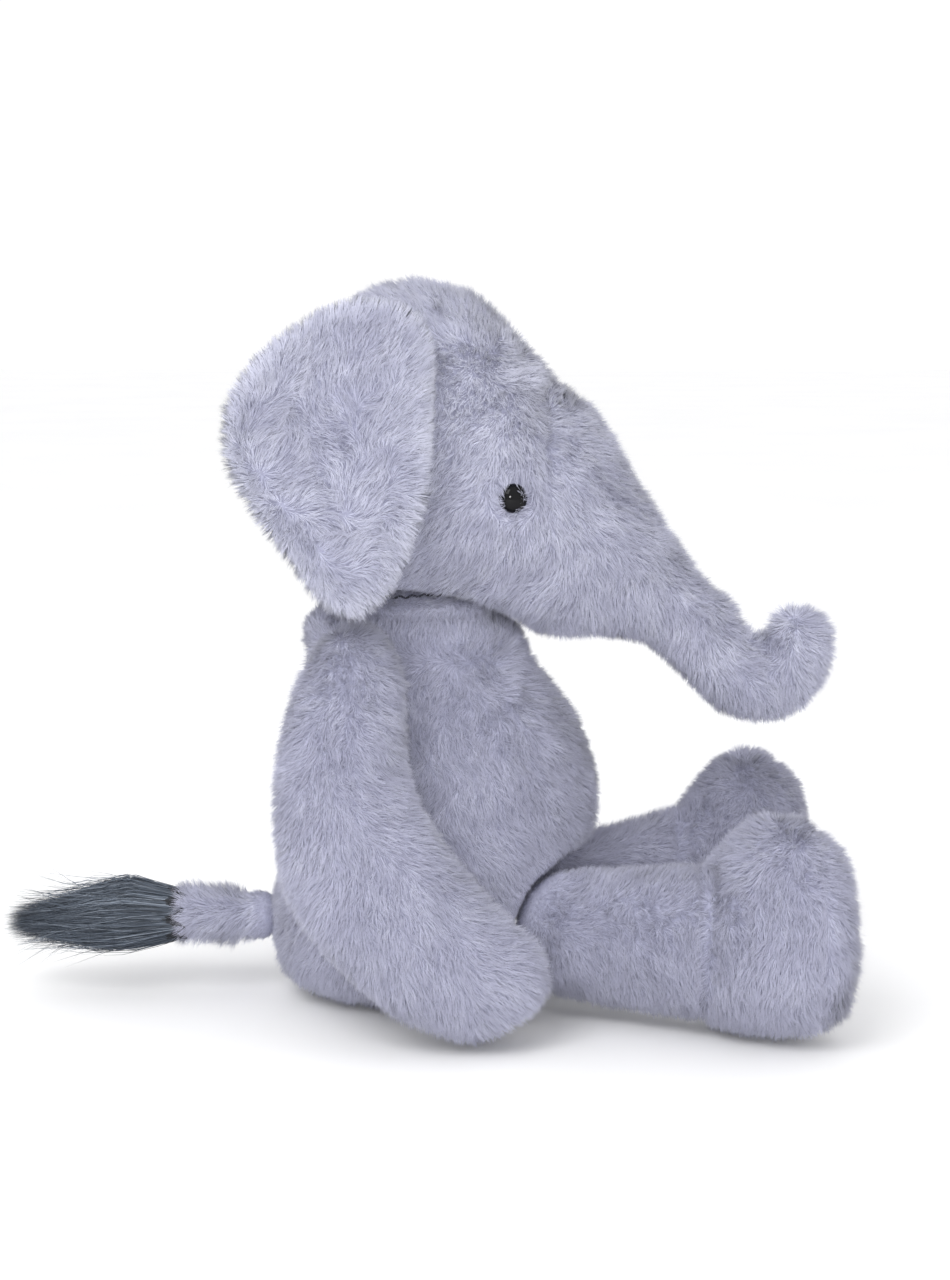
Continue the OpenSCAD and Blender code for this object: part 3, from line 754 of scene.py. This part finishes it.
def build_ear(side):
    """A thin ear, drawn in from its rim by the pile's length and sewn to the head at its front edge."""
    nodes = [f"ear_outer_panel_{side}", f"ear_inner_panel_{side}"]
    mesh = voxel_copy(f"ear_skin_{side}", nodes, voxel=FINE_VOXEL, rounds=4)
    sheet = ear_sheet(side)
    sheet_points, _, sheet_faces = read_mesh(sheet)
    tree = BVHTree.FromPolygons([tuple(p) for p in sheet_points], [list(map(int, f)) for f in sheet_faces])
    bm = bmesh.new()
    bm.from_mesh(sheet)
    rim = np.array([v.co[:] for v in bm.verts if v.is_boundary])
    bm.free()
    bpy.data.meshes.remove(sheet)
    middle = rim.mean(axis=0)
    points, _, _ = read_mesh(mesh)
    thin = points.copy()
    edges = np.zeros(len(points))
    half = 1.6 * MM
    inset, inset_above = 1.6 * MM, 2.2 * MM
    inset_reach = 26 * MM
    for k, p in enumerate(points):
        on_sheet = np.array(tree.find_nearest(p)[0])
        off = p - on_sheet
        lift = np.linalg.norm(off)
        if lift > half:
            on = on_sheet + off * (half / lift)
        else:
            on = p
        inward = middle - on
        reach = np.linalg.norm(inward)
        edge = edges[k] = np.linalg.norm(rim - on_sheet, axis=1).min()
        high = np.clip((p[2] - middle[2]) / (30 * MM), -1, 1)
        pull = (inset + inset_above * high) * max(0.0, 1 - edge / inset_reach)
        thin[k] = on + inward / reach * pull
    body = f"ear_{side}"
    skin = Skin(f"{body}_skin", body, mesh, nodes, [], ["head", "torso", "arm_" + side], depth=0, lumps=0)
    skin.free = np.maximum(skin.free, 0.5)
    # Painted highlight: pale makes the pile near the rim paler and denser, as a lit rim.
    skin.pale = np.exp(-(edges / (7 * MM)) ** 2)
    thin = smoothed(mesh, thin, 6)
    sewn_reach, sewn_fade = 9.5 * MM, 3.5 * MM
    head_tree = tree_of([node for node in BODIES["head"] if "_panel_" in node])
    for k, p in enumerate(points):
        on_head, _, _, gap = head_tree.find_nearest(p)
        sewn = np.clip((sewn_reach - gap) / sewn_fade, 0, 1)
        thin[k] += (np.array(on_head) - thin[k]) * sewn
    write_points(mesh, thin)
    skin.points, skin.normals, skin.triangles = read_mesh(mesh)
    make_skin(skin)
    sign = -1 if side == "right" else 1

    def flow(points, normals):
        """Up and forwards, and outwards at the rim."""
        gap = np.min([np.linalg.norm(points - corner, axis=1) for corner in rim], axis=0)
        outward = unit(points - middle) * (3 * np.exp(-(gap / (9 * MM)) ** 2))[:, None]
        return np.array([0.35, 0.1 * sign, 0.55]) + outward

    grow_pile(skin, flow, length=6.4 * MM, swirl=0.8)


def build_arm(side):
    """An arm with its nap down."""
    nodes = [f"arm_outer_panel_{side}", f"arm_inner_panel_{side}", f"arm_filling_{side}"]
    body = f"arm_{side}"
    mesh = voxel_copy(body + "_skin", nodes)
    skin = Skin(body + "_skin", body, mesh, nodes, [(0.3, [nodes[0:1], nodes[1:2]])],
                ["torso", "head", "ear_" + side, "leg_" + side], depth=3.0 * MM)
    make_skin(skin)
    # Painted shade: tint darkens the arm's pile against the head's.
    grow_pile(skin, steady((0.35, 0, -1)), tint=-0.5)


def build_leg(side):
    """A leg and its foot in one skin, with the foot cover's seam as a groove."""
    nodes = [f"leg_outer_panel_{side}", f"leg_inner_panel_{side}", f"foot_cover_{side}", f"foot_sole_{side}",
             f"leg_filling_{side}", f"foot_bean_bag_{side}"]
    body = f"leg_{side}"
    mesh = voxel_copy(body + "_skin", nodes)
    skin = Skin(body + "_skin", body, mesh, nodes,
                [(1.0, [nodes[0:2], nodes[2:3]]), (0.6, [nodes[2:3], nodes[3:4]])],
                ["torso", "arm_" + side])
    make_skin(skin)

    def flow(points, normals):
        """Along the leg, and down on the foot."""
        ankle = 105 * MM
        foot = np.clip((points[:, 0] - ankle) / (25 * MM), 0, 1)[:, None]
        return (1 - foot) * np.array([0.9, 0, -0.4]) + foot * np.array([0.1, 0, -1.0])

    # Painted shade: tint darkens the leg's and foot's pile against the head's.
    grow_pile(skin, flow, tint=-0.65)


def build_tail():
    """The tail, with a ball that reaches into the torso's back."""
    nodes = ["tail_panel_right", "tail_panel_left", "tail_filling"]
    root = np.array(JOINTS["tail_wag"]["pos_m"]) + np.array([9 * MM, 0, 0])
    mesh = voxel_copy("tail_skin", nodes, balls=[(root, 11 * MM)], voxel=FINE_VOXEL)
    skin = Skin("tail_skin", "tail", mesh, nodes, [], ["torso"], depth=3.6 * MM, lumps=0.3 * MM)
    make_skin(skin)
    grow_pile(skin, steady((-1, 0, -0.2)), length=7.0 * MM, swirl=0.4)


def build_tuft():
    """Long straight hair from a zigzag seam at the tail's end."""
    rng = np.random.default_rng(SEEDS["tuft"])
    outline, _ = world_mesh("tail_tuft")
    low, high = outline.min(axis=0), outline.max(axis=0)
    span = high[0] - low[0]
    cuts = np.linspace(low[0], high[0], 13)
    middle_z, half_z, half_y = [], [], []
    for cut in cuts:
        near = outline[np.abs(outline[:, 0] - cut) < span * 0.09]
        middle_z.append((near[:, 2].max() + near[:, 2].min()) / 2)
        half_z.append((near[:, 2].max() - near[:, 2].min()) / 2)
        half_y.append(near[:, 1].max())
    count = 8500
    teeth, tooth = 9, 2.6 * MM
    overlap, hollow = 3.0 * MM, 4 * MM
    turn = rng.uniform(0, 2 * math.pi, count)
    out = np.sqrt(rng.uniform(0.03, 1, count))
    zigzag = tooth * (2 * np.abs((turn / (2 * math.pi) * teeth) % 1 - 0.5) * 2 - 1)
    start_x = high[0] + overlap + zigzag - (1 - out) * hollow
    length = span * np.clip(rng.normal(0.9, 0.15, count), 0.3, 1.1)
    wild = rng.random(count) < 0.035
    drift = rng.normal(0, 1, (count, 3)) * np.where(wild, 0.15, 0.05)[:, None]
    drift[:, 0] *= 0.3
    chain = []
    stations = (0, 0.07, 0.35, 0.7, 1)
    droop, loose_end = 3 * MM, 14 * MM
    for t in stations:
        x = start_x - length * t
        z_mid = np.interp(x, cuts, middle_z)
        z_half = np.interp(x, cuts, half_z)
        y_half = np.interp(x, cuts, half_y)
        late = np.clip(((high[0] - x) / span - 0.4) / 0.6, 0, 1)
        squeeze = out * (0.9 + 0.1 * t) * (1 - 0.7 * late)
        z_mid = z_mid - droop * late
        wave = FINE.at(np.stack([x * 0.2, turn * 0.003, out * 0.004], axis=1), 5 * MM) * 1.5 * MM * t
        aside = squeeze * y_half * np.cos(turn)
        height = z_mid + squeeze * z_half * np.sin(turn)
        point = np.stack([x, aside, height], axis=1)
        bow = np.where(wild, t * t, t)[:, None] * length[:, None] * drift
        point = point + wave + bow
        point[:, 0] = np.maximum(point[:, 0], low[0] - loose_end)
        chain.append(point)
    outward = unit(np.stack([np.zeros(count), np.cos(turn), np.sin(turn)], axis=1))
    radius = rng.uniform(0.1, 0.2, count) * MM
    radii = [radius * f for f in (1, 1, 0.9, 0.7)]
    slots = 1 + np.digitize(rng.random(count), [0.4, 0.8])[:, None]
    slots = np.repeat(slots, len(stations) - 1, axis=1)
    slots[:, 0] = 0
    piece = strand_piece("tail_tuft_hair", chain, radii, outward, rng.uniform(0, 6, count), slots,
                         [TUFT_ROOT] + TUFT_HAIRS)
    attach(piece, "tail")
    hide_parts("tail_tuft")


# ---------------------------------------------------------------- eyes and threads

def eye_frame(side):
    """Middle of the dome's back, and the direction that it looks in: the dome lies sunk in the pile, a
    little above and behind the CAD's."""
    points, _ = world_mesh(f"eye_{side}")
    sign = -1 if side == "right" else 1
    turn = math.radians(12)
    sink = 8.5 * MM
    look = np.array([math.sin(turn), sign * math.cos(turn), 0])
    deep = points @ look
    top = points[deep > deep.max() - 0.6 * MM].mean(axis=0)
    shift = np.array([-1.4 * MM, 0, 0.8 * MM])
    return top - look * sink + shift, look


def lathe(name, profile, origin, axis, steps=64):
    """A round piece: profile is a list of (radius, height along axis)."""
    axis = unit(axis)
    across = unit(np.cross(axis, [1, 0, 0] if abs(axis[2]) > 0.9 else [0, 0, 1]))
    up = np.cross(across, axis)
    points, faces = [], []
    for radius, height in profile:
        for k in range(steps):
            a = 2 * math.pi * k / steps
            points.append(origin + axis * height + radius * (across * math.cos(a) + up * math.sin(a)))
    for i in range(len(profile) - 1):
        for k in range(steps):
            j = (k + 1) % steps
            faces.append([i * steps + k, i * steps + j, (i + 1) * steps + j, (i + 1) * steps + k])
    faces.append([k for k in reversed(range(steps))])
    faces.append([(len(profile) - 1) * steps + k for k in range(steps)])
    mesh = mesh_from(name, points, faces)
    bm = bmesh.new()
    bm.from_mesh(mesh)
    bmesh.ops.recalc_face_normals(bm, faces=bm.faces)
    bm.to_mesh(mesh)
    bm.free()
    mesh.polygons.foreach_set("use_smooth", [True] * len(mesh.polygons))
    return new_object(name, mesh)


def build_eye(side):
    """A black dome on a shank, sunk in the pile."""
    back, look = eye_frame(side)
    radius, height, shank = 5.9 * MM, 3.8 * MM, 2.0 * MM
    profile = [(shank, -13 * MM), (shank, -0.6 * MM), (radius * 0.96, -0.5 * MM), (radius, -0.1 * MM)]
    rings = 15
    for k in range(1, rings):
        a = math.radians(90 * k / rings)
        profile.append((radius * math.cos(a), height * math.sin(a)))
    profile.append((0.02 * MM, height))
    piece = lathe(f"eye_dome_{side}", profile, back, look)
    piece.data.materials.append(EYE)
    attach(piece, "head")
    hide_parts(f"eye_{side}")


def build_inner():
    """Better materials for the CAD pieces that stay."""
    for node, material in (("seat_bean_bag", WADDING), ("shoulder_threads", THREAD),
                           ("eye_washer_right", WADDING), ("eye_washer_left", WADDING)):
        mesh = frame["nodes"][node].data
        mesh.materials.clear()
        mesh.materials.append(material)


# ---------------------------------------------------------------- camera, light and floor

def build_stage():
    """Camera, white floor and backdrop, a large soft light and a small one that glints in the eyes."""
    scene = bpy.context.scene
    camera = bpy.data.objects.new("camera", bpy.data.cameras.new("camera"))
    scene.collection.objects.link(camera)
    camera.data.sensor_fit = "HORIZONTAL"
    camera.data.angle = math.radians(22.05)
    camera.location = (0.0205, -1.0, 0.290)
    pitch_down = 8
    camera.rotation_euler = (math.radians(90 - pitch_down), 0, 0)
    scene.camera = camera

    reach = 9
    corners = [(-reach, -reach, 0), (reach, -reach, 0), (reach, reach, 0), (-reach, reach, 0)]
    floor = new_object("floor", mesh_from("floor", corners, [[0, 1, 2, 3]]))
    floor.data.materials.append(patterned("floor", (0.93, 0.93, 0.94), (0.96, 0.96, 0.96), 0.7, 3, 0.0))

    world = bpy.data.worlds.new("studio")
    world.use_nodes = True
    world.node_tree.nodes["Background"].inputs["Color"].default_value = (1, 1, 1, 1)
    world.node_tree.nodes["Background"].inputs["Strength"].default_value = 1.05
    scene.world = world
    scene.view_settings.view_transform = "Standard"

    def area(name, place_at, aim, size, power):
        light = bpy.data.objects.new(name, bpy.data.lights.new(name, "AREA"))
        light.data.size = size
        light.data.energy = power
        light.location = place_at
        light.rotation_euler = (Vector(aim) - Vector(place_at)).to_track_quat("-Z", "Y").to_euler()
        scene.collection.objects.link(light)

    area("key", (-0.5, -1.1, 1.2), (0, 0, 0.15), 0.8, 10)
    area("spark", (0.03, -1.2, 0.36), (0.04, 0, 0.2), 0.15, 3.2)


build_stage()
build_torso()
build_neck()
build_head()
for side_name in ("right", "left"):
    build_ear(side_name)
    build_arm(side_name)
    build_leg(side_name)
    build_eye(side_name)
build_tail()
build_tuft()
build_inner()
